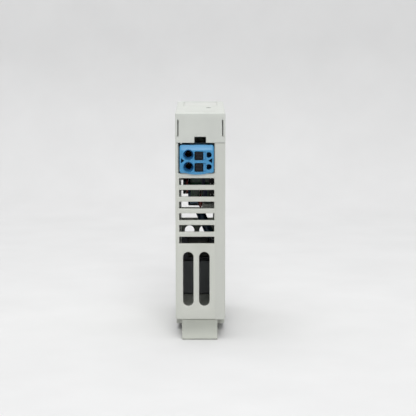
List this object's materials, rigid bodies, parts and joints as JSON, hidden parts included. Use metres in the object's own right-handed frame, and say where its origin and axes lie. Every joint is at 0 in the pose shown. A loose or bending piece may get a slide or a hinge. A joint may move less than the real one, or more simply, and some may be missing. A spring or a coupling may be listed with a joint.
{
  "type": "plc module",
  "caption": "Narrow rail-mounted controller module: vented housing, front cap, sliding rail latch and a push-in plug in one end face.",
  "frame": {"origin": "centre of the flat seat that rests on the mounting rail", "axes": "+Z from the rail to the front cap, -Y towards the end face with the plug and the latch, +X across the width towards the side cover; the rail runs along X"},
  "size_m": [0.0226, 0.0762, 0.1036],
  "materials": {
    "housing_plastic": "light warm grey, fine matte texture",
    "cap_plastic": "light grey, satin",
    "plug_plastic": "sky blue, satin",
    "dark_plastic": "dark grey, ribbed",
    "black_part": "black moulding compound",
    "relay_plastic": "dark grey, satin",
    "board_green": "dark green solder resist",
    "spring_steel": "drawn",
    "contact_metal": "tin-plated",
    "navy_sleeve": "shrink sleeve",
    "red_coating": "dipped coating",
    "grey_core": "sintered core",
    "light_grey_part": "plain",
    "clear_plastic": "clear, dark behind"
  },
  "bodies": {
    "housing": {"housing_shell": "housing_plastic", "side_cover": "housing_plastic", "window_blank": "housing_plastic", "latch_spring": "spring_steel", "earth_contact": "contact_metal", "header_block": "light_grey_part", "upper_header_pin": "contact_metal", "lower_header_pin": "contact_metal", "main_board": "board_green", "interface_board": "board_green", "board_connector": "black_part", "output_relay": "relay_plastic", "power_transformer": "black_part", "bulk_capacitor": "navy_sleeve", "leaning_capacitor": "navy_sleeve", "varistor": "red_coating", "dipped_capacitor": "red_coating", "input_choke": "grey_core", "microcontroller": "black_part", "memory_chip": "black_part", "bus_driver_chip": "black_part", "regulator_chip": "black_part", "input_fuse": "light_grey_part", "status_led": "clear_plastic"},
    "cap": {"front_cap": "cap_plastic", "marker_strip": "light_grey_part", "light_pipe": "clear_plastic"},
    "latch": {"rail_latch": "housing_plastic"},
    "plug": {"plug_housing": "plug_plastic", "upper_clamp_spring": "spring_steel", "lower_clamp_spring": "spring_steel", "upper_contact": "contact_metal", "lower_contact": "contact_metal"},
    "upper_release": {"upper_button": "dark_plastic"},
    "lower_release": {"lower_button": "dark_plastic"}
  },
  "joints": [
    {"name": "cap_lift", "type": "slide", "parent": "housing", "child": "cap", "axis": [0, 0, 1], "range_m": [0, 0.02]},
    {"name": "latch_slide", "type": "slide", "parent": "housing", "child": "latch", "axis": [0, -1, 0], "range_m": [0, 0.003], "stiffness_N_per_m": 300, "springref_m": -0.004, "deforming": ["latch_spring"]},
    {"name": "plug_pull", "type": "slide", "parent": "housing", "child": "plug", "axis": [0, -1, 0], "range_m": [0, 0.016]},
    {"name": "upper_button_push", "type": "slide", "parent": "plug", "child": "upper_release", "axis": [0, 1, 0], "range_m": [0, 0.0015], "stiffness_N_per_m": 20, "springref_m": -0.003},
    {"name": "lower_button_push", "type": "slide", "parent": "plug", "child": "lower_release", "axis": [0, 1, 0], "range_m": [0, 0.0015], "stiffness_N_per_m": 20, "springref_m": -0.003}
  ]
}
